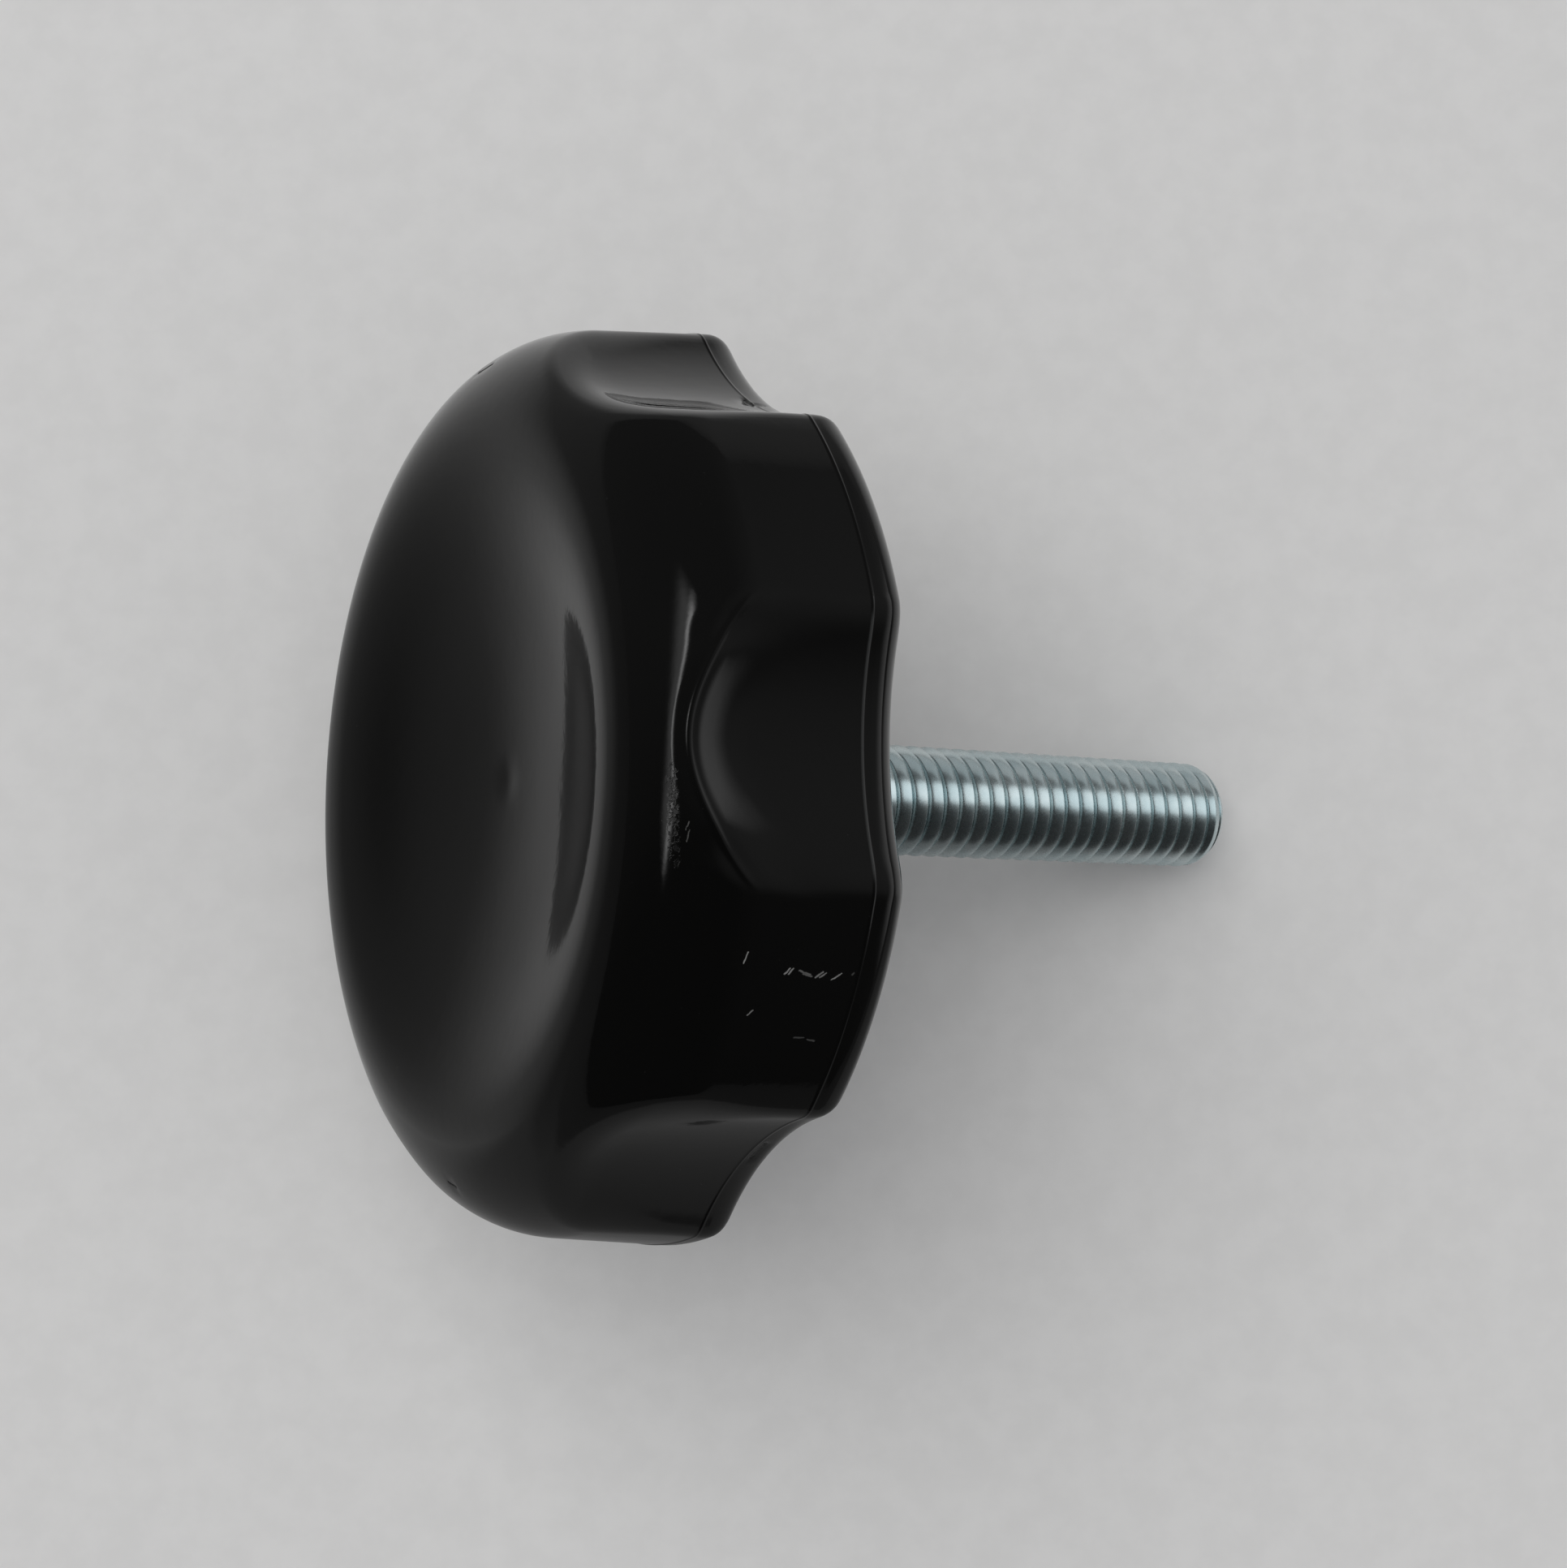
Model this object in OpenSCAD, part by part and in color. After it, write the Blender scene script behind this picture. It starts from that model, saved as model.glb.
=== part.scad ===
// Fluted clamping knob with a dished face and a moulded-in threaded stud.
// It lies on a level surface as it comes to rest: on the two lobes beside
// its lowest flute and on the tip of its stud. Millimetres, +Z up, stud to +X.

/* [Knob body] */
// Diameter over the lobes, at the back edge
knob_d = 73; // [60:0.5:80]
// Height from the back face to the crest of the rim
knob_h = 19.7; // [19:0.1:23]
// Draft of the side wall, narrowing towards the front, in degrees
wall_draft = 5.7; // [1:0.1:8]
// Rounding of the back edge
lip_r = 2.3; // [1:0.1:3.5]
// Rounding of the rim, from the side wall over its crest to the dish
rim_r = 8.6; // [7:0.1:9.5]

/* [Dished face] */
// Depth of the dish below the rim's crest
dish_depth = 4.2; // [2:0.1:5]
// Width of the small dimple at the dish's centre
dimple_d = 4; // [2:0.5:8]
// Depth of the dimple
dimple_depth = 0.25; // [0.1:0.05:0.6]

/* [Flutes] */
// Number of flutes around the body
flute_count = 6; // [4, 6, 8]
// Width of a flute across its two edges
flute_w = 19.1; // [14:0.1:22]
// Depth of a flute below the circle of the lobes
flute_depth = 3; // [2.4:0.1:4]

/* [Threaded stud] */
// Outside diameter of the stud's 3/8-16 thread
stud_d = 9.4; // [8:0.1:10]
// Length of the stud outside the body
stud_len = 54; // [40:0.5:70]
// Chamfer of the stud's tip
stud_chamfer = 1; // [0.4:0.1:1.5]
// Diameter of the plain shank inside the moulding, thicker than the thread
shank_d = 11; // [10.6:0.1:12]
// How deep the stud's head sits below the back face
head_depth = 7; // [5:0.1:8]
// Width across the flats of the head that locks the stud in the moulding
head_af = 14.3; // [12:0.1:16]
// Thickness of that head
head_h = 6; // [4:0.1:7]

/* [Hidden] */
$fn = 96;

rb = knob_d / 2;
rs = stud_d / 2;

// Section of the body, as [radius, height above the back face].
// Each arc runs into the next almost at a tangent: they cross by a hair,
// so that every corner of the section is a clean intersection.
hair = 0.02;
wall_n = [cos(wall_draft), sin(wall_draft)];
wall_t = [-sin(wall_draft), cos(wall_draft)];
lip_z = lip_r - 3 * hair;
lip_c = [rb - lip_r, lip_z];
lip_end = lip_c + lip_r * wall_n;
wall_q = lip_end - hair * wall_n;
// The rim's centre lies rim_r inside the wall, and its crest at knob_h.
rim_q = lip_end - rim_r * wall_n;
rim_c = rim_q + wall_t * ((knob_h - rim_r - rim_q[1]) / wall_t[1]);
// Length of the straight wall, up to where it meets the rim
wall_l = (rim_c - lip_c) * wall_t;
// The dish is a sphere that touches the rim's inner side.
dish_z = knob_h - dish_depth;
dish_r = (rim_c[0] * rim_c[0] + dish_depth * dish_depth) / (2 * dish_depth) - rim_r;
dish_c = [0, dish_z + dish_r];
dish_k = (dish_c - rim_c) / norm(dish_c - rim_c);
dish_end = rim_c + rim_r * dish_k;
dimple_r = (pow(dimple_d / 2, 2) + dimple_depth * dimple_depth) / (2 * dimple_depth);

// A flute is a cylinder beside the body, parallel to its axis.
half_w = flute_w / 2;
flute_sag = flute_depth - (rb - sqrt(rb * rb - half_w * half_w));
flute_r = (half_w * half_w + flute_sag * flute_sag) / (2 * flute_sag);
flute_c = rb - flute_depth + flute_r;

// Lying at rest: the back edge of the two lowest lobes and the end of the
// thread touch the surface together. edge_x and edge_k describe how far the
// corner between a lobe and its flute reaches out along the flute's direction.
edge_k = (rb + flute_r) / flute_c;
edge_x = (rb * rb + flute_c * flute_c - flute_r * flute_r) / (2 * flute_c) - edge_k * lip_r;
tip_z = stud_len - stud_chamfer;
rest_m = norm([edge_x - rs, tip_z + lip_z]);
rest_b = atan2(edge_x - rs, tip_z + lip_z);
function edge_r(t) = lip_r * sqrt(pow(edge_k * cos(t), 2) + pow(sin(t), 2));
function settle(t, n) = n == 0 ? t : settle(rest_b + asin(edge_r(t) / rest_m), n - 1);
tilt = settle(rest_b, 12);
rest_z = rs * cos(tilt) + tip_z * sin(tilt);
x_min = -(rim_c[1] * cos(tilt) + rim_c[0] * sin(tilt) + rim_r);
x_max = stud_len * cos(tilt) + (rs - stud_chamfer) * sin(tilt);
rest_x = -(x_min + x_max) / 2;

// From the knob's own axes (front to +Z, stud to -Z) to how it lies
module rest() {
    translate([rest_x, 0, rest_z]) rotate([0, tilt - 90, 0]) children();
}

// Half section of the body without flutes
module section() {
    difference() {
        union() {
            polygon([[0, 0], [rb - lip_r, 0], lip_c, wall_q, wall_q + wall_l * wall_t,
                     rim_c, dish_end, [0, dish_z + 1]]);
            intersection() {
                translate(lip_c) circle(r = lip_r);
                translate([lip_c[0] - 1, 0]) square([lip_r + 2, 2 * lip_r]);
            }
            translate(rim_c) circle(r = rim_r);
        }
        translate(dish_c) circle(r = dish_r + hair);
        translate([0, dish_z - dimple_depth + dimple_r]) circle(r = dimple_r);
    }
}

// Cutter for one flute, flared so that the back edge's rounding follows it
module flute() {
    translate([flute_c, 0, 0]) rotate_extrude($fn = 240) union() {
        translate([0, -1]) square([flute_r, knob_h + 2]);
        difference() {
            translate([0, -1]) square([flute_r + lip_r, lip_z + 1]);
            translate([flute_r + lip_r - hair, lip_z]) circle(r = lip_r);
        }
    }
}

// Takes the first n flutes out of its children, one after the other
module fluted(n) {
    if (n == 0) children();
    else difference() {
        fluted(n - 1) children();
        rotate([0, 0, n * 360 / flute_count]) flute();
    }
}

// The stud with the head that holds it in the moulding
module stud() {
    translate([0, 0, -tip_z]) cylinder(r = rs, h = tip_z + 1);
    cylinder(d = shank_d, h = head_depth + 1);
    translate([0, 0, -stud_len])
        cylinder(r1 = rs - stud_chamfer, r2 = rs, h = stud_chamfer);
    translate([0, 0, head_depth]) cylinder(d = head_af / cos(30), h = head_h, $fn = 6);
}

module knob_body() {
    color([0.03, 0.03, 0.03]) rest() difference() {
        fluted(flute_count) rotate_extrude($fn = 240) section();
        stud();
    }
}

module threaded_stud() {
    color([0.66, 0.70, 0.72]) rest() stud();
}

knob_body();
threaded_stud();
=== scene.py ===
import math

import bpy
import numpy as np
from mathutils import Matrix, Vector


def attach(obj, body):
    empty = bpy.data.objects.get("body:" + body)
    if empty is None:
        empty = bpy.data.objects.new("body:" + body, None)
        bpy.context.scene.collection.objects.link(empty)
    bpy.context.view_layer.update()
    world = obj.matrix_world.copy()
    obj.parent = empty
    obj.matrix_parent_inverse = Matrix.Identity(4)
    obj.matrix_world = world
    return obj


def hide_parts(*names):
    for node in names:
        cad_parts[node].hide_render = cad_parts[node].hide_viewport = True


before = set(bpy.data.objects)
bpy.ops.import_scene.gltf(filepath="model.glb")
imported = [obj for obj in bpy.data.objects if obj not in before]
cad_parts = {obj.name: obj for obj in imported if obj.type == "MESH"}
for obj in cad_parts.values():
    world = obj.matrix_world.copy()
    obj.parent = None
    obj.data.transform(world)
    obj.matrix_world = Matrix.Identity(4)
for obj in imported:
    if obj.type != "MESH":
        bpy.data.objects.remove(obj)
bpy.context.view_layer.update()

# ---------------------------------------------------------------- the knob's own axes
# Sizes below are millimetres in the knob's own axes: x' runs up through the middle of
# the top flute, z' from the back face to the front. to_world() gives metres as it lies.
MM = 0.001
TILT = math.radians(29.1813)
ORIGIN = np.array([-8.75116, 0.0, 29.94494])
AX = np.array([math.sin(TILT), 0.0, math.cos(TILT)])
AY = np.array([0.0, 1.0, 0.0])
AZ = np.array([-math.cos(TILT), 0.0, math.sin(TILT)])


def to_world(p):
    p = np.asarray(p, float)
    return (ORIGIN + p[..., 0:1] * AX + p[..., 1:2] * AY + p[..., 2:3] * AZ) * MM


def make_object(name, verts, faces, material, smooth=True):
    me = bpy.data.meshes.new(name)
    me.from_pydata([tuple(v) for v in verts], [], [tuple(f) for f in faces])
    me.validate()
    me.update()
    if smooth:
        me.polygons.foreach_set("use_smooth", [True] * len(me.polygons))
    me.materials.append(material)
    ob = bpy.data.objects.new(name, me)
    bpy.context.collection.objects.link(ob)
    return ob


# ---------------------------------------------------------------- material helpers
def new_material(name):
    mat = bpy.data.materials.new(name)
    mat.use_nodes = True
    nt = mat.node_tree
    nt.nodes.clear()
    return mat, nt


def put(nt, socket, value):
    if hasattr(value, "is_output"):
        nt.links.new(value, socket)
    else:
        socket.default_value = value


def math_node(nt, op, a, b=0.0, c=0.0, clamp=False):
    n = nt.nodes.new("ShaderNodeMath")
    n.operation = op
    n.use_clamp = clamp
    for s, v in zip(n.inputs, (a, b, c)):
        put(nt, s, v)
    return n.outputs[0]


def vec_node(nt, op, a, b=None, scale=None):
    n = nt.nodes.new("ShaderNodeVectorMath")
    n.operation = op
    put(nt, n.inputs[0], a)
    if b is not None:
        put(nt, n.inputs[1], b)
    if scale is not None:
        put(nt, n.inputs["Scale"], scale)
    return n.outputs["Value"] if op in ("DOT_PRODUCT", "LENGTH", "DISTANCE") else n.outputs["Vector"]


def noise(nt, vec, scale, detail=2.0, rough=0.5, dist=0.0):
    n = nt.nodes.new("ShaderNodeTexNoise")
    n.inputs["Scale"].default_value = scale
    n.inputs["Detail"].default_value = detail
    n.inputs["Roughness"].default_value = rough
    n.inputs["Distortion"].default_value = dist
    nt.links.new(vec, n.inputs["Vector"])
    return n.outputs["Fac"]


def ramp(nt, fac, lo, hi, a=0.0, b=1.0, kind="SMOOTHSTEP"):
    n = nt.nodes.new("ShaderNodeMapRange")
    n.interpolation_type = kind
    n.inputs["From Min"].default_value = lo
    n.inputs["From Max"].default_value = hi
    n.inputs["To Min"].default_value = a
    n.inputs["To Max"].default_value = b
    nt.links.new(fac, n.inputs["Value"])
    return n.outputs["Result"]


def mix_color(nt, fac, a, b):
    n = nt.nodes.new("ShaderNodeMix")
    n.data_type = "RGBA"
    put(nt, n.inputs["Factor"], fac)
    for key, v in (("A", a), ("B", b)):
        s = [i for i in n.inputs if i.name == key and i.type == "RGBA"][0]
        put(nt, s, v)
    return [o for o in n.outputs if o.type == "RGBA"][0]


def local_coords(nt):
    """The point on the piece in the knob's own axes, in millimetres."""
    tc = nt.nodes.new("ShaderNodeTexCoord")
    p = vec_node(nt, "SCALE", tc.outputs["Object"], scale=1000.0)
    q = vec_node(nt, "SUBTRACT", p, tuple(ORIGIN))
    x = vec_node(nt, "DOT_PRODUCT", q, tuple(AX))
    y = vec_node(nt, "DOT_PRODUCT", q, tuple(AY))
    z = vec_node(nt, "DOT_PRODUCT", q, tuple(AZ))
    c = nt.nodes.new("ShaderNodeCombineXYZ")
    for s, v in zip(c.inputs, (x, y, z)):
        nt.links.new(v, s)
    return c.outputs[0], x, y, z


# ---------------------------------------------------------------- black moulding
# Wear as it lies on the piece, in the knob's own axes: two ends, half width, how strong.
SCRATCHES = (
    ((32.42, -15.20, 12.14), (32.78, -14.49, 11.97), 0.060, 1.0),
    ((32.45, -15.91, 8.89), (32.66, -15.56, 8.60), 0.075, 0.9),
    ((32.48, -15.93, 8.60), (32.69, -15.55, 8.35), 0.075, 0.9),
    ((32.67, -15.69, 7.85), (32.63, -15.96, 6.96), 0.070, 0.45),
    ((32.60, -15.92, 7.48), (32.58, -16.10, 6.82), 0.080, 0.4),
    ((32.59, -16.15, 6.49), (32.82, -15.77, 6.03), 0.075, 0.7),
    ((32.63, -16.14, 6.18), (32.81, -15.86, 5.75), 0.075, 0.7),
    ((32.65, -16.30, 5.23), (32.92, -15.87, 4.60), 0.060, 0.9),
    ((33.00, -15.95, 3.75), (33.03, -15.80, 3.65), 0.080, 0.2),
    ((30.67, -18.75, 10.86), (30.90, -18.43, 10.59), 0.060, 0.75),
    ((30.13, -20.32, 6.81), (30.21, -20.32, 6.08), 0.080, 0.2),
    ((30.17, -20.44, 5.72), (30.16, -20.54, 5.19), 0.080, 0.22),
    ((33.15, -5.78, 16.77), (32.94, -6.26, 16.91), 0.050, 0.3),
    ((33.13, -6.27, 16.70), (32.87, -7.08, 16.81), 0.050, 0.25),
)
CHIPS = (
    ((-1.40, 33.00, 17.40), (0.90, 33.15, 17.25), 0.20, 1.0),
    ((-3.71, -31.57, 18.38), (-2.78, -31.91, 18.22), 0.17, 1.0),
    ((16.65, -29.36, 2.59), (18.84, -28.20, 2.58), 0.16, 0.9),
    ((17.46, 28.33, 3.57), (18.56, 27.71, 3.63), 0.16, 0.9),
    ((18.34, 27.83, 3.50), (18.66, 27.74, 2.41), 0.09, 0.9),
)
SCUFF = ((32.55, -2.0, 17.75), (32.20, -8.5, 17.30))


def segment_distance(nt, P, a, b):
    a, b = np.array(a), np.array(b)
    ab = b - a
    t = vec_node(nt, "DOT_PRODUCT", vec_node(nt, "SUBTRACT", P, tuple(a)), tuple(ab / (ab @ ab)))
    t = math_node(nt, "ADD", t, 0.0, clamp=True)
    at = vec_node(nt, "ADD", vec_node(nt, "SCALE", tuple(ab), scale=t), tuple(a))
    return vec_node(nt, "DISTANCE", P, at)


def marks(nt, P, lines):
    total = None
    for a, b, w, k in lines:
        m = ramp(nt, segment_distance(nt, P, a, b), 0.35 * w, 1.3 * w, k, 0.0)
        total = m if total is None else math_node(nt, "MAXIMUM", total, m)
    return total


def black_material():
    mat, nt = new_material("black_moulding_gloss")
    P, x, y, z = local_coords(nt)
    out = nt.nodes.new("ShaderNodeOutputMaterial")
    bs = nt.nodes.new("ShaderNodeBsdfPrincipled")
    nt.links.new(bs.outputs[0], out.inputs[0])

    # uneven polish and handling haze
    haze = ramp(nt, noise(nt, P, 0.11, 4.0, 0.55), 0.42, 0.68)
    fine = ramp(nt, noise(nt, P, 1.9, 3.0, 0.6), 0.45, 0.75)
    # dust: sparse pale specks
    dust = ramp(nt, noise(nt, P, 5.5, 1.0, 0.4), 0.80, 0.86)

    rough = math_node(nt, "MULTIPLY_ADD", haze, 0.03, 0.045)
    rough = math_node(nt, "MULTIPLY_ADD", fine, 0.015, rough)
    rough = math_node(nt, "MULTIPLY_ADD", dust, 0.3, rough)
    # scratches with pale edges, chips, and a scuffed patch beside the top flute
    wob = nt.nodes.new("ShaderNodeTexNoise")
    wob.inputs["Scale"].default_value = 3.0
    nt.links.new(P, wob.inputs["Vector"])
    Q = vec_node(nt, "ADD", P, vec_node(nt, "SCALE", vec_node(nt, "SUBTRACT", wob.outputs["Color"], (0.5, 0.5, 0.5)), scale=0.16))
    scratch = marks(nt, Q, SCRATCHES)
    chip = marks(nt, Q, CHIPS)
    scuff = ramp(nt, segment_distance(nt, P, *SCUFF), 0.15, 0.6, 1.0, 0.0)
    scuff = math_node(nt, "MULTIPLY", scuff, ramp(nt, noise(nt, P, 2.6, 3.0, 0.6, 0.4), 0.48, 0.6))
    # painted highlight: a lighter grey line along the parting-line flash, only where it crosses the top flute
    ln = math_node(nt, "DIVIDE", math_node(nt, "SUBTRACT", z, 3.27), 0.085)
    parting_flash_highlight = math_node(nt, "EXPONENT", math_node(nt, "MULTIPLY", math_node(nt, "MULTIPLY", ln, ln), -1.0))
    parting_flash_highlight = math_node(nt, "MULTIPLY", parting_flash_highlight, ramp(nt, math_node(nt, "ABSOLUTE", y), 8.6, 9.8, 1.0, 0.0))
    parting_flash_highlight = math_node(nt, "MULTIPLY", parting_flash_highlight, ramp(nt, x, 20.0, 25.0))
    rough = math_node(nt, "MULTIPLY_ADD", scuff, 0.16, rough)
    rough = math_node(nt, "MAXIMUM", rough, math_node(nt, "MULTIPLY", math_node(nt, "MAXIMUM", scratch, chip), 0.6))
    nt.links.new(rough, bs.inputs["Roughness"])
    base = mix_color(nt, dust, (0.0022, 0.0022, 0.0021, 1), (0.02, 0.02, 0.019, 1))
    # painted highlight on the parting line across the top flute
    base = mix_color(nt, parting_flash_highlight, base, (0.035, 0.036, 0.036, 1))
    base = mix_color(nt, scratch, base, (0.24, 0.24, 0.235, 1))
    nt.links.new(base, bs.inputs["Base Color"])
    bs.inputs["IOR"].default_value = 1.55

    bump = nt.nodes.new("ShaderNodeBump")
    bump.inputs["Strength"].default_value = 0.25
    bump.inputs["Distance"].default_value = 0.00002
    high = noise(nt, P, 0.9, 3.0, 0.5)
    high = math_node(nt, "MULTIPLY_ADD", scuff, -1.2, high)
    high = math_node(nt, "MULTIPLY_ADD", chip, -9.0, high)
    nt.links.new(high, bump.inputs["Height"])
    nt.links.new(bump.outputs[0], bs.inputs["Normal"])
    return mat


# ---------------------------------------------------------------- zinc plate
def zinc_material():
    mat, nt = new_material("zinc_plate")
    P, x, y, z = local_coords(nt)
    out = nt.nodes.new("ShaderNodeOutputMaterial")
    bs = nt.nodes.new("ShaderNodeBsdfPrincipled")
    nt.links.new(bs.outputs[0], out.inputs[0])
    big = ramp(nt, noise(nt, P, 0.35, 3.0, 0.55), 0.35, 0.7)
    fine = noise(nt, P, 2.2, 2.0, 0.5)
    nt.links.new(mix_color(nt, big, (0.53, 0.63, 0.65, 1), (0.63, 0.71, 0.72, 1)), bs.inputs["Base Color"])
    bs.inputs["Metallic"].default_value = 1.0
    rough = math_node(nt, "MULTIPLY_ADD", fine, 0.08, 0.23)
    nt.links.new(rough, bs.inputs["Roughness"])
    bump = nt.nodes.new("ShaderNodeBump")
    bump.inputs["Strength"].default_value = 0.12
    bump.inputs["Distance"].default_value = 0.00003
    nt.links.new(fine, bump.inputs["Height"])
    nt.links.new(bump.outputs[0], bs.inputs["Normal"])
    return mat


# ---------------------------------------------------------------- body of the knob
RB, LIP_R, LIP_Z, DRAFT = 36.8, 2.3, 2.24, math.radians(5.7)
SH_C, SH_R, SH_END = np.array([26.9106, 10.8171]), 9.0, 31.8
# slope of the face along a radius, from the middle of the dish over the rim's crest
SLOPE_R = (0, 3, 6, 9, 12, 14, 16, 18, 20, 22, 24, 26.2, 28.3, 30.3, 31.8)
SLOPE = (0, .055, .108, .15, .178, .2, .228, .257, .274, .264, .238, .13, -.1, -.415, -.6458)
DIMPLE_R, DIMPLE_Z = 1.5, 0.10
FL_R, FL_C, FL_N = 26.6, 60.35, 6
FL_R_UPPER, FL_C_UPPER = 22.5, 55.85      # the upper side flute is cut by a smaller circle
UPPER_TURN = math.radians(1.4)            # and lies a little nearer the top flute
SOFT_BACK, SOFT_FRONT, SOFT_SIDE, SOFT_SEAM = 1.0, 2.1, 1.7, 1.3   # how softly a flute runs into the lobes, the rim and its seam
FL_DRAFT, FL_DRAFT_SIDE = 1.1, 0.7   # how much deeper a flute is at its front end: the top one, the others
FL_EDGE = math.radians(16.2)     # half the angle that a flute takes at its front end
END_Z, END_BOW = 16.84, 4.1      # a flute's front end: its middle, and how far it curves back
BANK_W, BANK_POW = 4.8, 1.45     # how far behind that end the floor begins to rise, and how it curves up
BEAD, BEAD_W = 0.10, 0.28        # height and half width of the bead on that end
BORE_R, HEAD_R, HEAD_Z0, HEAD_Z1 = 5.5, 8.26, 7.0, 13.0


def section_line():
    """Section of the body without flutes, from the back edge to the middle of the dish."""
    pts = []
    a0 = -math.asin(LIP_Z / LIP_R)
    for a in np.linspace(a0, DRAFT, 200):
        pts.append((RB - LIP_R + LIP_R * math.cos(a), LIP_Z + LIP_R * math.sin(a)))
    k = math.acos((SH_END - SH_C[0]) / SH_R)
    for a in np.linspace(DRAFT, k, 600):
        pts.append(tuple(SH_C + SH_R * np.array([math.cos(a), math.sin(a)])))
    r = np.linspace(0.0, SH_END, 3151)
    m = np.interp(np.abs(np.linspace(-3.0, SH_END, 3451)), SLOPE_R, SLOPE)
    m[:300] *= -1
    tail = SLOPE[-1] - 0.16 * np.arange(1, 301) * 0.01
    g = np.exp(-(np.arange(-300, 301) * 0.01 / 0.7) ** 2)
    m = np.convolve(np.r_[m, tail], g / g.sum(), "same")[300:3451]
    h = np.r_[0, np.cumsum(0.5 * (m[1:] + m[:-1]) * 0.01)]
    h += pts[-1][1] - h[-1]
    h -= DIMPLE_Z * np.exp(-((r / DIMPLE_R) ** 2))
    pts += [(r[i], h[i]) for i in range(len(r) - 2, -1, -1)]
    pts = np.array(pts)
    u = np.r_[0, np.cumsum(np.hypot(*np.diff(pts, axis=0).T))]
    # even steps along the line
    ue = np.linspace(0, u[-1], 9000)
    return ue, np.interp(ue, u, pts[:, 0]), np.interp(ue, u, pts[:, 1])


def soft_min(a, b, k):
    h = np.maximum(k - np.abs(a - b), 0.0)
    return np.minimum(a, b) - h * h / (4 * k)


def flute_radius(d, g, upper):
    """Distance from the axis to a flute's floor at angle d from its middle."""
    fr, fc = np.where(upper, FL_R_UPPER, FL_R), np.where(upper, FL_C_UPPER, FL_C)
    q = (fr + g) ** 2 - (fc * np.sin(d)) ** 2
    return np.where(q > 0, fc * np.cos(d) - np.sqrt(np.maximum(q, 0)), 1e3)


def smooth_step(x):
    x = np.clip(x, 0.0, 1.0)
    return x * x * (3 - 2 * x)


def body_mesh(columns=600):
    U, R0, Z0 = section_line()
    crest = int(np.argmax(Z0))
    u_crest, u_end = U[crest], U[-1]
    lip_end = int(np.argmax(Z0 > LIP_Z))
    g0 = np.where(np.arange(len(U)) < lip_end, RB - R0, 0.0)

    def u_of_z(zv):
        return np.interp(zv, Z0[:crest], U[:crest])

    phi = np.arange(columns) * 2 * math.pi / columns
    pitch = 2 * math.pi / FL_N
    warp = phi + UPPER_TURN * np.exp(-((phi - math.pi / 3) / 0.44) ** 2)
    d = (warp + pitch / 2) % pitch - pitch / 2
    # where the flute's floor, with its bank, meets the rim
    # (only the top flute has a sharp end with a bead; the others run out smoothly)
    top_flute = np.cos(phi) > 0.8
    upper = np.abs(phi - math.pi / 3) < math.pi / 6
    rf = flute_radius(d, 0.0, upper)
    draft = np.where(top_flute, FL_DRAFT, FL_DRAFT_SIDE)
    u_edge = u_of_z(np.maximum(END_Z - END_BOW * (34.6 * np.sin(d) / 9.4) ** 2, 3.0))
    rise = np.maximum(np.interp(u_edge, U, R0) - (rf - draft), 0.0)
    u_s = u_of_z(10.5)
    u_b = 0.5 * (u_edge + u_s + np.sqrt((u_edge - u_s) ** 2 + 1.0))
    w = 1.5

    rows = []          # each row: u for every column
    for t in np.linspace(0, 1, 10):
        rows.append(np.full(columns, t * u_of_z(2.6)))
    for zv in np.linspace(2.7, 3.9, 25):
        rows.append(np.full(columns, u_of_z(zv)))
    a0 = u_of_z(3.9)
    for t in np.linspace(0, 1, 13)[1:-1]:
        rows.append(a0 + t * (u_b - w - a0))
    for t in np.linspace(-1, 1, 37):
        rows.append(u_b + w * t)
    for t in np.linspace(0, 1, 21)[1:]:
        rows.append(u_b + w + t * (u_crest - u_b - w))
    for t in np.linspace(0, 1, 38)[1:-1]:
        rows.append(np.full(columns, u_crest + t * (u_end - 3.4 - u_crest)))
    for t in np.linspace(0, 1, 14)[:-1]:
        rows.append(np.full(columns, u_end - 3.4 + 3.4 * t))
    u = np.array(rows)
    r0 = np.interp(u, U, R0)
    zz = np.interp(u, U, Z0)
    g = np.interp(u, U, g0)
    D = np.broadcast_to(d, u.shape)
    slope = np.gradient(u_edge, phi) / 34.0
    dist = (u - u_edge) / np.sqrt(1 + np.clip(slope, -3, 3) ** 2)
    fade = smooth_step((u_edge - u_of_z(10.3)) / 1.2) * top_flute
    back = np.maximum(-dist, 0.0)
    bank = rise * np.clip(1 - back / BANK_W, 0, 1) ** BANK_POW * fade
    bank = bank * smooth_step((0.275 - np.abs(d)) / 0.11)
    rfl = flute_radius(D, g, upper) - draft * np.clip((zz - 2.6) / 11.5, 0, 1) + bank
    soft_b = np.where(top_flute, SOFT_BACK, 0.55 * SOFT_BACK)
    soft = soft_b + (np.where(top_flute, SOFT_FRONT, SOFT_SIDE) - soft_b) * smooth_step((zz - 4.5) / 9.5)
    soft = soft + (SOFT_SEAM - soft) * fade * smooth_step((dist + 3.5) / 2.5)
    rr = soft_min(r0, rfl, soft)
    rr = np.where(u > u_crest, r0, rr)

    # mould seam where a flute's floor meets the rim: a fine raised bead
    ridge = BEAD * np.exp(-(dist / BEAD_W) ** 2) * fade * smooth_step((FL_EDGE + 0.01 - np.abs(d)) / 0.03)
    rr = rr + ridge * 0.9
    zz = zz + ridge * 0.42
    # parting line of the mould's two halves, a little in front of the back edge
    line = 0.05 * np.exp(-((zz - 3.25) / 0.09) ** 2) - 0.015 / (1 + np.exp(-(zz - 3.25) / 0.05))
    line = np.where(zz < 9.0, line * np.clip((9.0 - zz) / 5.0, 0, 1), 0.0)
    rr = rr + line

    C, S = np.cos(phi), np.sin(phi)
    grid = np.stack([rr * C, rr * S, zz], -1)
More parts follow.
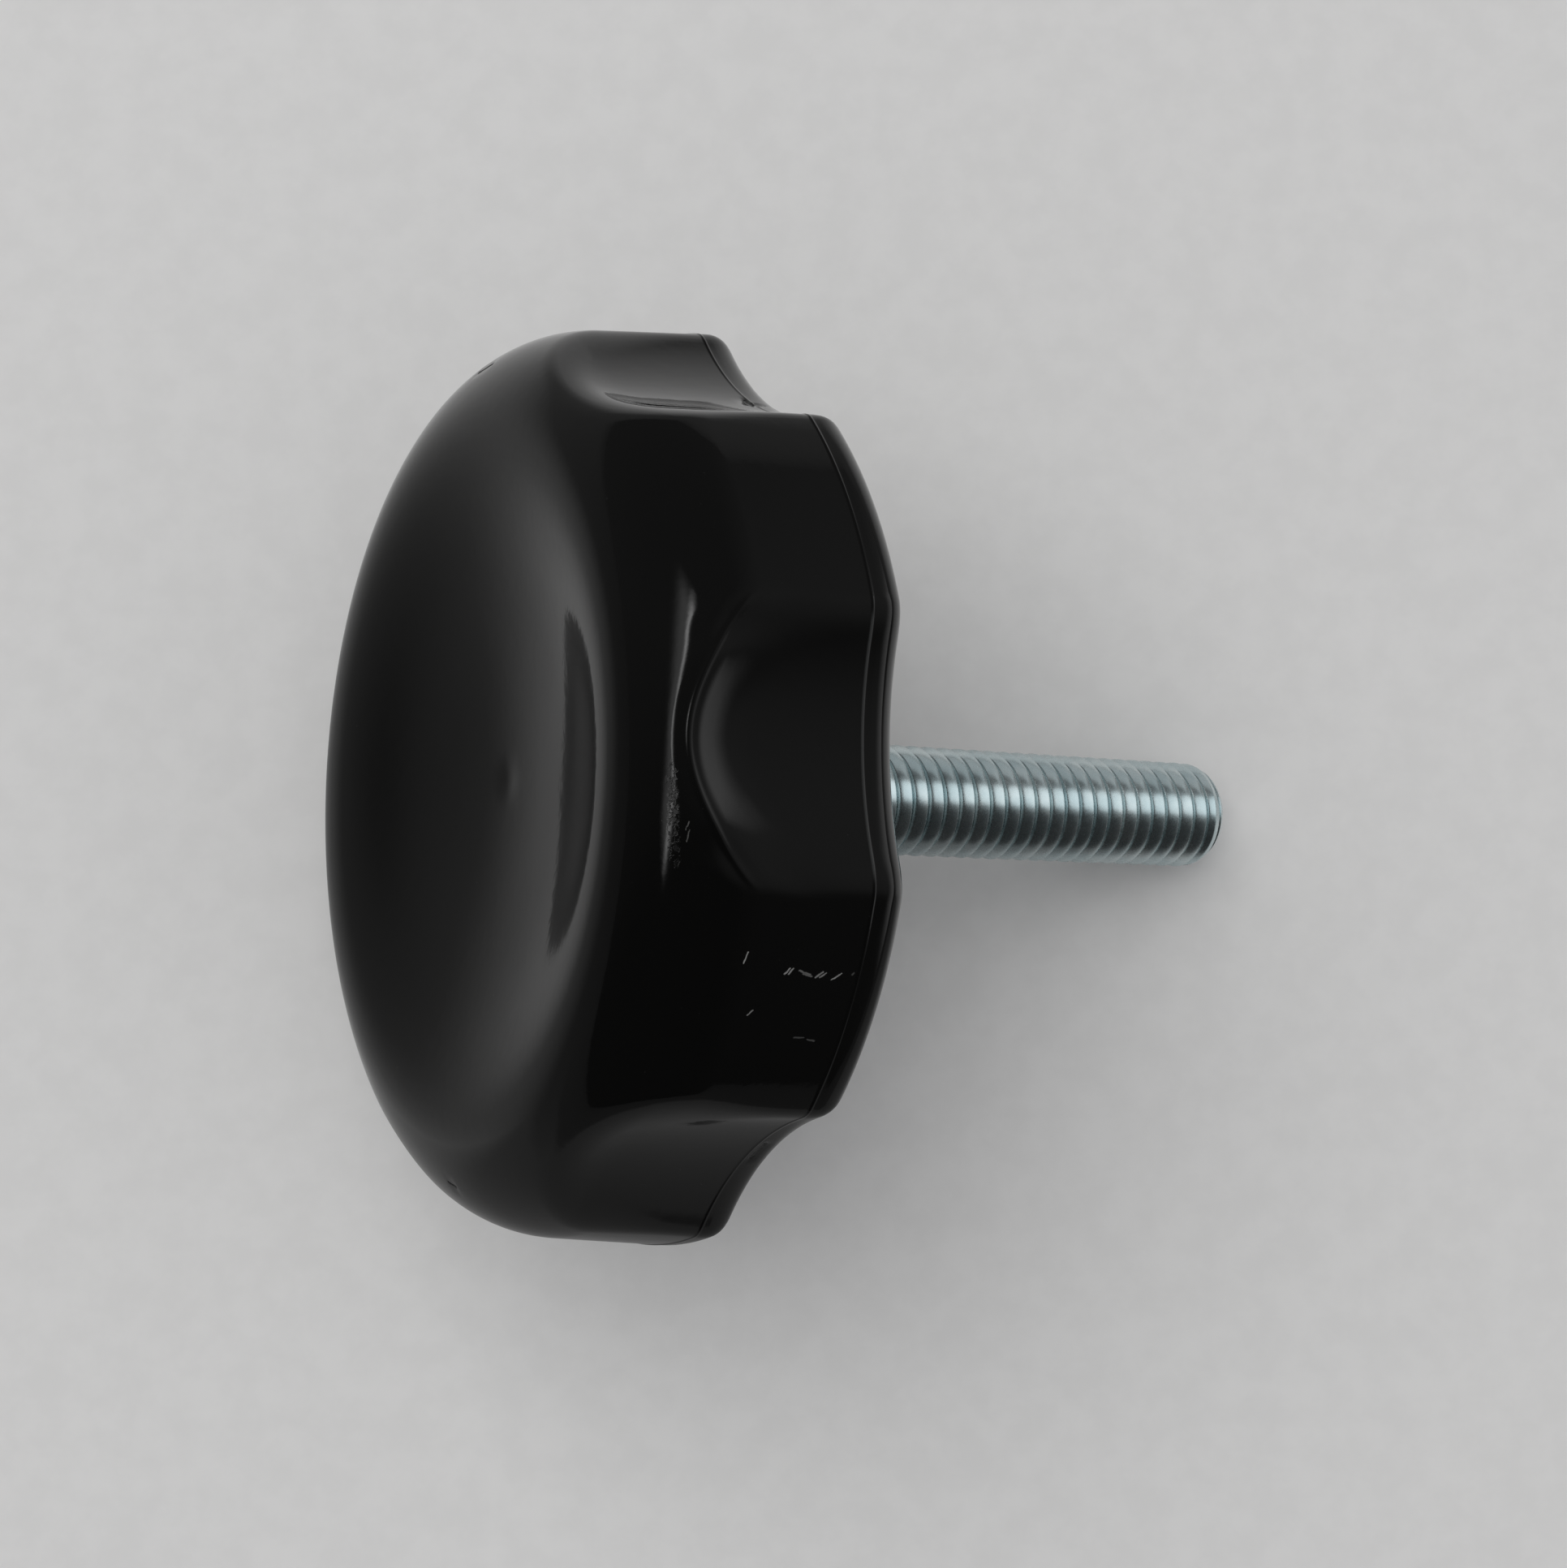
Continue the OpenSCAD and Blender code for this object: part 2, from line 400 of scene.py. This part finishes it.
    # chips are also a little hollow
    for a, b, wd, k in CHIPS:
        a, b = np.array(a), np.array(b)
        t = np.clip((grid - a) @ (b - a) / ((b - a) @ (b - a)), 0, 1)[..., None]
        gap = np.linalg.norm(grid - (a + t * (b - a)), axis=-1)
        cut = 0.16 * k * np.exp(-(gap / (1.6 * wd)) ** 2)
        flat = np.hypot(grid[..., 0], grid[..., 1])
        grid[..., 0] -= cut * grid[..., 0] / np.maximum(flat, 1e-6)
        grid[..., 1] -= cut * grid[..., 1] / np.maximum(flat, 1e-6)

    # back face, then the seat of the stud, all hidden from the front
    first = grid[0]
    r_first = rr[0]
    back = []
    for t in (0.03, 0.12, 0.35, 0.65, 0.9, 1.0):
        rad = r_first + t * (BORE_R - r_first)
        back.append(np.stack([rad * C, rad * S, np.zeros(columns)], -1))
    for rad, zv in ((BORE_R, HEAD_Z0), (HEAD_R, HEAD_Z0), (HEAD_R, HEAD_Z1)):
        back.append(np.stack([rad * C, rad * S, np.full(columns, zv)], -1))
    allrows = np.concatenate([np.array(back[::-1]), grid])
    n_r = len(allrows)
    verts = allrows.reshape(-1, 3)
    idx = np.arange(n_r * columns).reshape(n_r, columns)
    nxt = np.roll(idx, -1, axis=1)
    faces = np.stack([idx[:-1], nxt[:-1], nxt[1:], idx[1:]], -1).reshape(-1, 4).tolist()
    top = len(verts)
    verts = np.vstack([verts, [[0, 0, Z0[-1]], [0, 0, HEAD_Z1]]])
    faces += [(int(idx[-1, j]), int(nxt[-1, j]), top) for j in range(columns)]
    faces += [(int(nxt[0, j]), int(idx[0, j]), top + 1) for j in range(columns)]
    return to_world(verts), faces


# ---------------------------------------------------------------- stud
PITCH, MAJOR, ROOT = 1.5875, 4.76, 3.86
STUD_L = 54.4


def thread_mesh(turn=96):
    """A right-hand thread as one strip wound round the axis, closed at both ends."""
    # one pitch of the thread: [share of the pitch, radius]
    # (rounded towards the knob, steeper towards the tip)
    share = np.r_[np.linspace(0.0, 0.62, 11), 0.655, 0.69, 0.73, 0.765, 0.90, 0.982, 0.99]
    rad = np.r_[MAJOR - 0.40 * np.linspace(0.0, 1.0, 11) ** 2, ROOT + 0.24, ROOT + 0.06, ROOT + 0.03, ROOT + 0.10,
                MAJOR - 0.29, MAJOR - 0.012, MAJOR]
    prof = np.stack([share, rad], -1)
    n = len(prof)
    turns = int(STUD_L / PITCH) + 5
    steps = np.arange(turn)
    rows = []
    # rows go from the tip to the back face; row k at angle step j lies at
    # z = start + (k/n + j/turn) pitches
    start = -STUD_L - 3.2 * PITCH
    K = turns * n
    k = np.arange(K)
    zk = start + (k // n + prof[k % n, 0]) * PITCH
    rk = prof[k % n, 1]
    th = steps * 2 * math.pi / turn
    Zg = zk[:, None] + PITCH * steps[None, :] / turn
    Rg = np.broadcast_to(rk[:, None], Zg.shape).copy()
    # rounded, chamfered tip
    d = Zg + STUD_L                      # distance in from the end
    cone = np.where(d < 2.4, MAJOR - 1.15 * np.clip((2.4 - d) / 2.4, 0, 1) ** 2.2, 1e3)
    Rg = np.minimum(Rg, cone)
    # what lies beyond the end becomes its flat face
    over = np.maximum(-d, 0.0)
    Rg = np.where(d < 0, np.maximum(np.minimum(Rg, MAJOR - 1.15) - over * 1.3, 0.02 + 0.001 * over), Rg)
    Zg = np.maximum(Zg, -STUD_L)
    # and at the back face it is closed inside the moulding
    over = np.maximum(Zg - 0.0, 0.0)
    Rg = np.where(Zg > 0, np.maximum(np.minimum(Rg, ROOT) - over * 1.3, 0.02 + 0.001 * over), Rg)
    Zg = np.minimum(Zg, 0.0)
    verts = np.stack([Rg * np.cos(th), Rg * np.sin(th), Zg], -1).reshape(-1, 3)
    idx = np.arange(K * turn).reshape(K, turn)
    faces = []
    for j in range(turn):
        if j < turn - 1:
            a, b = idx[:-1, j], idx[:-1, j + 1]
            c, e = idx[1:, j + 1], idx[1:, j]
        else:
            a, b = idx[:-1 - n, j], idx[n:-1, 0]
            c, e = idx[n + 1:, 0], idx[1:-n, j]
        faces.append(np.stack([a, b, c, e], -1))
    faces = np.concatenate(faces)
    # leave out what has shrunk to nothing at the two ends
    r = Rg.reshape(-1)
    keep = (r[faces] > 0.05).any(axis=1)
    faces = faces[keep]
    used = np.unique(faces)
    new = np.full(len(verts), -1)
    new[used] = np.arange(len(used))
    return verts[used], new[faces]


def lathe(profile, columns):
    """Closed solid of revolution from [radius, z'] points, first and last on the axis."""
    prof = np.array(profile)
    a = np.arange(columns) * 2 * math.pi / columns
    ring = prof[1:-1]
    v = np.stack([ring[:, None, 0] * np.cos(a), ring[:, None, 0] * np.sin(a),
                  np.broadcast_to(ring[:, None, 1], (len(ring), columns))], -1).reshape(-1, 3)
    idx = np.arange(len(ring) * columns).reshape(len(ring), columns)
    nx = np.roll(idx, -1, axis=1)
    f = np.stack([idx[:-1], nx[:-1], nx[1:], idx[1:]], -1).reshape(-1, 4).tolist()
    t = len(v)
    v = np.vstack([v, [[0, 0, prof[0, 1]], [0, 0, prof[-1, 1]]]])
    f += [(int(nx[0, j]), int(idx[0, j]), t) for j in range(columns)]
    f += [(int(idx[-1, j]), int(nx[-1, j]), t + 1) for j in range(columns)]
    return v, f


def stud_mesh():
    v1, f1 = thread_mesh()
    e = 0.12
    v2, f2 = lathe([(0, 0.02), (5.2, 0.02), (5.45, 0.05), (5.48, 0.2), (5.48, HEAD_Z0 - 0.2),
                    (5.6, HEAD_Z0 + 0.02), (8.0, HEAD_Z0 + 0.02), (8.0, HEAD_Z1 - 0.02), (0, HEAD_Z1 - 0.02)], 48)
    # six flats on the head
    r = np.hypot(v2[:, 0], v2[:, 1])
    a = np.arctan2(v2[:, 1], v2[:, 0])
    s = math.pi / 3
    hexr = 7.15 / np.cos((a % s) - s / 2)
    rim = r > 7.5
    v2[rim, 0] *= hexr[rim] / r[rim]
    v2[rim, 1] *= hexr[rim] / r[rim]
    verts = np.vstack([v1, v2])
    faces = [tuple(int(i) for i in f) for f in f1] + [tuple(int(i) + len(v1) for i in f) for f in f2]
    return to_world(verts), faces


black = black_material()
zinc = zinc_material()

bv, bf = body_mesh()
body = make_object("knob_moulding", bv, bf, black)
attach(body, "root")
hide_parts("knob_body")

sv, sf = stud_mesh()
stud = make_object("stud_thread", sv, sf, zinc)
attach(stud, "root")
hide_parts("threaded_stud")


# ---------------------------------------------------------------- floor, light, camera
def floor_material():
    mat, nt = new_material("pale_paper")
    tc = nt.nodes.new("ShaderNodeTexCoord")
    out = nt.nodes.new("ShaderNodeOutputMaterial")
    bs = nt.nodes.new("ShaderNodeBsdfPrincipled")
    nt.links.new(bs.outputs[0], out.inputs[0])
    f = noise(nt, tc.outputs["Object"], 260.0, 3.0, 0.6)
    nt.links.new(mix_color(nt, ramp(nt, f, 0.3, 0.7), (0.76, 0.76, 0.755, 1), (0.79, 0.79, 0.785, 1)), bs.inputs["Base Color"])
    bs.inputs["Roughness"].default_value = 0.9
    bs.inputs["Specular IOR Level"].default_value = 0.2
    return mat


s = 2.5
floor = make_object("floor", [(-s, -s, 0), (s, -s, 0), (s, s, 0), (-s, s, 0)], [(0, 1, 2, 3)], floor_material(), smooth=False)


def area(name, loc, target, sx, sy, watts, color=(1, 1, 1)):
    l = bpy.data.lights.new(name, "AREA")
    l.shape = "RECTANGLE"
    l.size, l.size_y = sx, sy
    l.energy = watts
    l.color = color
    o = bpy.data.objects.new(name, l)
    o.location = loc
    o.rotation_mode = "QUATERNION"
    o.rotation_quaternion = (Vector(target) - Vector(loc)).to_track_quat("-Z", "Y")
    bpy.context.collection.objects.link(o)
    return o


# The soft light that fills the room is too large to show as a shape in the gloss.
key = area("key_soft", (-0.45, 0.45, 1.3), (0, 0, 0.03), 1.3, 1.3, 9.0, (1.0, 0.99, 0.975))
key.visible_glossy = False


def glow_material(core, halo, half):
    """Soft-edged strip light: a bright line with a wider, fainter side, fading at its ends."""
    mat, nt = new_material("strip_glow")
    tc = nt.nodes.new("ShaderNodeTexCoord")
    sp = nt.nodes.new("ShaderNodeSeparateXYZ")
    nt.links.new(tc.outputs["Object"], sp.inputs[0])

    lean = math_node(nt, "MULTIPLY_ADD", sp.outputs[1], 0.2, math_node(nt, "ADD", sp.outputs[0], 0.08))

    def bell(at, width):
        q = math_node(nt, "DIVIDE", math_node(nt, "SUBTRACT", lean, at), width)
        return math_node(nt, "EXPONENT", math_node(nt, "MULTIPLY", math_node(nt, "MULTIPLY", q, q), -1.0))

    e = math_node(nt, "ADD", math_node(nt, "MULTIPLY", bell(0.0, 0.035), ramp(nt, sp.outputs[1], -0.2, 0.4, core, 1.5 * core)), math_node(nt, "MULTIPLY", bell(-0.09, 0.10), halo))
    ends = math_node(nt, "MULTIPLY", ramp(nt, sp.outputs[1], -half, -half + 0.15), ramp(nt, sp.outputs[1], half - 0.24, half - 0.10, 1.0, 0.0))
    em = nt.nodes.new("ShaderNodeEmission")
    nt.links.new(math_node(nt, "MULTIPLY", e, ends), em.inputs["Strength"])
    ad = nt.nodes.new("ShaderNodeAddShader")
    nt.links.new(nt.nodes.new("ShaderNodeBsdfTransparent").outputs[0], ad.inputs[0])
    nt.links.new(em.outputs[0], ad.inputs[1])
    out = nt.nodes.new("ShaderNodeOutputMaterial")
    nt.links.new(ad.outputs[0], out.inputs[0])
    return mat


def gloss_only(ob):
    """For cards that only show in gloss: neither seen nor lighting anything else."""
    ob.visible_camera = False
    ob.visible_diffuse = False
    ob.visible_shadow = False
    ob.visible_transmission = False
    ob.visible_volume_scatter = False


# The one light that does show: a soft strip on the left, slanting across the rim.
strip = make_object("strip_left", [(-0.45, -0.5, 0), (0.2, -0.5, 0), (0.2, 0.5, 0), (-0.45, 0.5, 0)],
                    [(0, 1, 2, 3)], glow_material(1.9, 0.55, 0.5), smooth=False)
strip.matrix_world = Matrix(((0.729, 0.685, 0, -0.36), (-0.685, 0.729, 0, 0.10), (0, 0, 1, 0.66), (0, 0, 0, 1)))
gloss_only(strip)

# Lights for the stud alone, as plain cards above and beside it would give
metal_only = bpy.data.collections.new("metal_only")
metal_only.objects.link(stud)
for name, way, along, dist, sx, sy, watts in (
        ("card_over", (0.534, 0.208, 0.820), (-0.84, 0.0, 0.545), 0.7, 1.05, 0.48, 1.6),
        ("card_far", (0.10, 0.93, 0.33), (-0.994, 0.107, 0.0), 0.65, 0.8, 0.5, 0.44)):
    o = area(name, (0, 0, 1), (0, 0, 0), sx, sy, watts, (0.93, 0.98, 1.0))
    ez = Vector(way).normalized()
    ex = (Vector(along) - ez * ez.dot(Vector(along))).normalized()
    ey = ez.cross(ex)
    m = Matrix((ex, ey, ez)).transposed().to_4x4()
    m.translation = Vector((0.025, 0, 0.012)) + ez * dist
    o.matrix_world = m
    o.light_linking.receiver_collection = metal_only

world = bpy.data.worlds.new("studio")
bpy.context.scene.world = world
world.use_nodes = True
wn = world.node_tree
wn.nodes.clear()
wo = wn.nodes.new("ShaderNodeOutputWorld")
wb = wn.nodes.new("ShaderNodeBackground")
lp = wn.nodes.new("ShaderNodeLightPath")
# a room that is dim where the gloss would mirror it: darkest to the front
wt = wn.nodes.new("ShaderNodeTexCoord")
wx = vec_node(wn, "DOT_PRODUCT", wt.outputs["Generated"], (1.0, 0.0, 0.0))
wy = vec_node(wn, "DOT_PRODUCT", wt.outputs["Generated"], (0.0, 1.0, 0.0))
far = ramp(wn, wy, -0.35, 0.45, 0.02, 0.07)
wz = vec_node(wn, "DOT_PRODUCT", wt.outputs["Generated"], (0.0, 0.0, 1.0))
side = math_node(wn, "MULTIPLY", ramp(wn, wx, 0.2, 0.9, 0.0, 0.10), ramp(wn, wy, -0.5, 0.0, 0.2, 1.0))
low = math_node(wn, "MULTIPLY", ramp(wn, wz, 0.02, 0.42, 0.5, 0.0), ramp(wn, wx, 0.35, 0.75))
low = math_node(wn, "MULTIPLY", low, ramp(wn, wy, -0.62, -0.35))
low = math_node(wn, "MULTIPLY", low, ramp(wn, wy, 0.45, 0.7, 1.0, 0.0))
side = math_node(wn, "ADD", side, low)
dim = math_node(wn, "ADD", far, side)
room = mix_color(wn, lp.outputs["Is Glossy Ray"], (0.44, 0.44, 0.447, 1), dim)
wn.links.new(mix_color(wn, lp.outputs["Is Camera Ray"], room, (0.6, 0.6, 0.6, 1)), wb.inputs["Color"])
wn.links.new(wb.outputs[0], wo.inputs[0])


def dark_reflection_card_material():
    """A dark card low on the left, seen only in gloss: a painted dark reflection that keeps the pale floor from
    washing out the black face.
    """
    mat, nt = new_material("painted_dark_reflection_card")
    tc = nt.nodes.new("ShaderNodeTexCoord")
    sp = nt.nodes.new("ShaderNodeSeparateXYZ")
    nt.links.new(tc.outputs["Object"], sp.inputs[0])
    dx = math_node(nt, "SUBTRACT", -0.022, sp.outputs[0])
    yy = sp.outputs[1]
    az = math_node(nt, "ARCTAN2", yy, dx)
    dist = math_node(nt, "SQRT", math_node(nt, "MULTIPLY_ADD", dx, dx, math_node(nt, "MULTIPLY", yy, yy)))
    q = math_node(nt, "POWER", math_node(nt, "ABSOLUTE", math_node(nt, "DIVIDE", az, math.radians(55))), 2.0)
    op = math_node(nt, "MULTIPLY", math_node(nt, "EXPONENT", math_node(nt, "MULTIPLY", q, -1.0)), ramp(nt, dist, 0.03, 0.065, 0.6, 0.86))
    # farther off on the left the card darkens the floor's reflection all round: painted dark reflection
    left = ramp(nt, math_node(nt, "ABSOLUTE", az), math.radians(65), math.radians(90), 1.0, 0.0)
    more = math_node(nt, "MULTIPLY", ramp(nt, dist, 0.06, 0.16, 0.0, 0.7), left)
    op = math_node(nt, "SUBTRACT", 1.0, math_node(nt, "MULTIPLY", math_node(nt, "SUBTRACT", 1.0, op), math_node(nt, "SUBTRACT", 1.0, more)))
    ex = math_node(nt, "MULTIPLY", dx, ramp(nt, dx, -0.04, 0.0, 0.6, 1.0))
    far = math_node(nt, "SQRT", math_node(nt, "MULTIPLY_ADD", ex, ex, math_node(nt, "MULTIPLY", yy, yy)))
    most = ramp(nt, yy, -0.06, 0.06, 0.93, 0.78)
    op = math_node(nt, "MAXIMUM", op, math_node(nt, "MULTIPLY", ramp(nt, far, 0.05, 0.28), most))
    op = math_node(nt, "MAXIMUM", op, ramp(nt, yy, -0.06, 0.0, 0.8, 0.0))
    out = nt.nodes.new("ShaderNodeOutputMaterial")
    mx = nt.nodes.new("ShaderNodeMixShader")
    tr = nt.nodes.new("ShaderNodeBsdfTransparent")
    em = nt.nodes.new("ShaderNodeEmission")
    em.inputs["Color"].default_value = (0.04, 0.04, 0.04, 1)
    em.inputs["Strength"].default_value = 1.0
    nt.links.new(op, mx.inputs[0])
    nt.links.new(tr.outputs[0], mx.inputs[1])
    nt.links.new(em.outputs[0], mx.inputs[2])
    nt.links.new(mx.outputs[0], out.inputs[0])
    return mat


# a dark card seen only in gloss: painted dark reflection in the black face
flag = make_object("painted_dark_reflection_left", [(-2.5, -2.5, 0.0004), (2.5, -2.5, 0.0004), (2.5, 2.5, 0.0004), (-2.5, 2.5, 0.0004)],
                   [(0, 1, 2, 3)], dark_reflection_card_material(), smooth=False)
gloss_only(flag)

cam = bpy.data.cameras.new("camera")
cam.sensor_fit = "HORIZONTAL"
cam.sensor_width = 36.0
cam.lens = 59.787
cam.clip_start, cam.clip_end = 0.01, 20.0
co = bpy.data.objects.new("camera", cam)
right = Vector((0.99980737, -0.00289067, 0.01941307))
down = Vector((-0.00100218, -0.99532349, -0.09659264))
ahead = Vector((0.0196015, 0.09655458, -0.99513466))
m = Matrix((right, -down, -ahead)).transposed().to_4x4()
m.translation = Vector((-4.28486, -20.22809, 242.67657)) * MM
co.matrix_world = m
bpy.context.collection.objects.link(co)
bpy.context.scene.camera = co

sc = bpy.context.scene
sc.view_settings.view_transform = "Standard"
sc.view_settings.look = "None"
